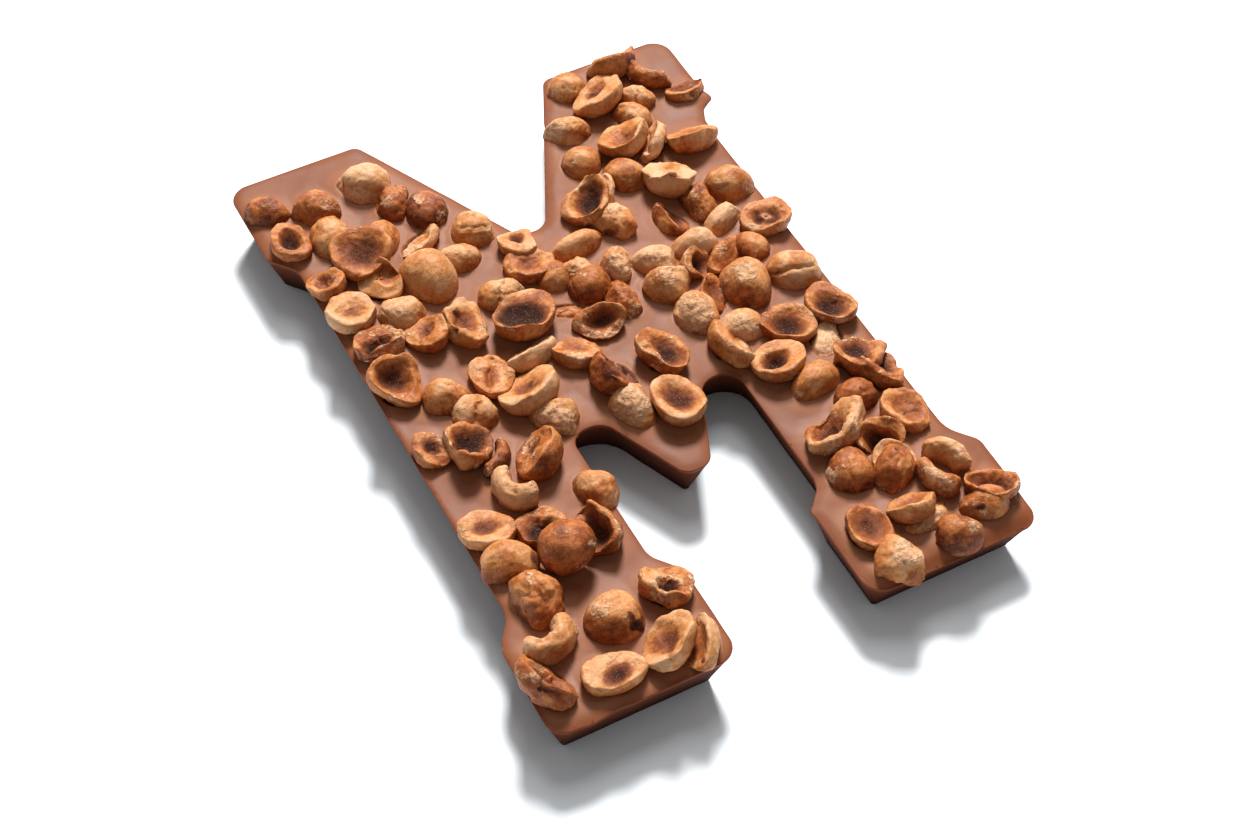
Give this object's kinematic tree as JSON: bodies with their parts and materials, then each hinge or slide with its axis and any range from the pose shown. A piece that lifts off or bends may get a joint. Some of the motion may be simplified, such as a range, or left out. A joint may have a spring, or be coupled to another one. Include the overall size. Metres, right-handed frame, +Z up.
{
  "type": "milk chocolate letter bar with hazelnuts",
  "caption": "Slab-serif letter M of moulded milk chocolate lying flat, its poured side set with roasted hazelnut halves, domes, cups and slivers.",
  "frame": {"origin": "centre of the letter's width and height on the moulded face that it lies on", "axes": "+X across the letter in reading direction, +Y up the letter towards its notch, +Z up towards the nuts"},
  "size_m": [0.1208, 0.1721, 0.024],
  "materials": {
    "milk_chocolate": "semi-matte tempered milk chocolate with a soft sheen, smooth poured surface and darker sides",
    "roasted_hazelnut": "roasted hazelnut, cream to golden brown, matt cut faces with dark brown hollows"
  },
  "bodies": {
    "root": {"chocolate_letter": "milk_chocolate", "hazelnuts_01": "roasted_hazelnut", "hazelnuts_02": "roasted_hazelnut", "hazelnuts_03": "roasted_hazelnut", "hazelnuts_04": "roasted_hazelnut", "hazelnuts_05": "roasted_hazelnut", "hazelnuts_06": "roasted_hazelnut", "hazelnuts_07": "roasted_hazelnut", "hazelnuts_08": "roasted_hazelnut", "hazelnuts_09": "roasted_hazelnut", "hazelnuts_10": "roasted_hazelnut", "hazelnuts_11": "roasted_hazelnut", "hazelnuts_12": "roasted_hazelnut", "hazelnuts_13": "roasted_hazelnut", "hazelnuts_14": "roasted_hazelnut", "hazelnuts_15": "roasted_hazelnut", "hazelnuts_16": "roasted_hazelnut", "hazelnuts_17": "roasted_hazelnut", "hazelnuts_18": "roasted_hazelnut", "hazelnuts_19": "roasted_hazelnut", "hazelnuts_20": "roasted_hazelnut", "hazelnuts_21": "roasted_hazelnut", "hazelnuts_22": "roasted_hazelnut", "hazelnuts_23": "roasted_hazelnut", "hazelnuts_24": "roasted_hazelnut", "hazelnuts_25": "roasted_hazelnut", "hazelnuts_26": "roasted_hazelnut", "hazelnuts_27": "roasted_hazelnut", "hazelnuts_28": "roasted_hazelnut", "hazelnuts_29": "roasted_hazelnut", "hazelnuts_30": "roasted_hazelnut", "hazelnuts_31": "roasted_hazelnut", "hazelnuts_32": "roasted_hazelnut", "hazelnuts_33": "roasted_hazelnut", "hazelnuts_34": "roasted_hazelnut", "hazelnuts_35": "roasted_hazelnut", "hazelnuts_36": "roasted_hazelnut", "hazelnuts_37": "roasted_hazelnut", "hazelnuts_38": "roasted_hazelnut", "hazelnuts_39": "roasted_hazelnut", "hazelnuts_40": "roasted_hazelnut", "hazelnuts_41": "roasted_hazelnut", "hazelnuts_42": "roasted_hazelnut", "hazelnuts_43": "roasted_hazelnut", "hazelnuts_44": "roasted_hazelnut", "hazelnuts_45": "roasted_hazelnut", "hazelnuts_46": "roasted_hazelnut", "hazelnuts_47": "roasted_hazelnut", "hazelnuts_48": "roasted_hazelnut", "hazelnuts_49": "roasted_hazelnut", "hazelnuts_50": "roasted_hazelnut", "hazelnuts_51": "roasted_hazelnut", "hazelnuts_52": "roasted_hazelnut", "hazelnuts_53": "roasted_hazelnut", "hazelnuts_54": "roasted_hazelnut", "hazelnuts_55": "roasted_hazelnut", "hazelnuts_56": "roasted_hazelnut", "hazelnuts_57": "roasted_hazelnut", "hazelnuts_58": "roasted_hazelnut", "hazelnuts_59": "roasted_hazelnut"}
  },
  "joints": []
}
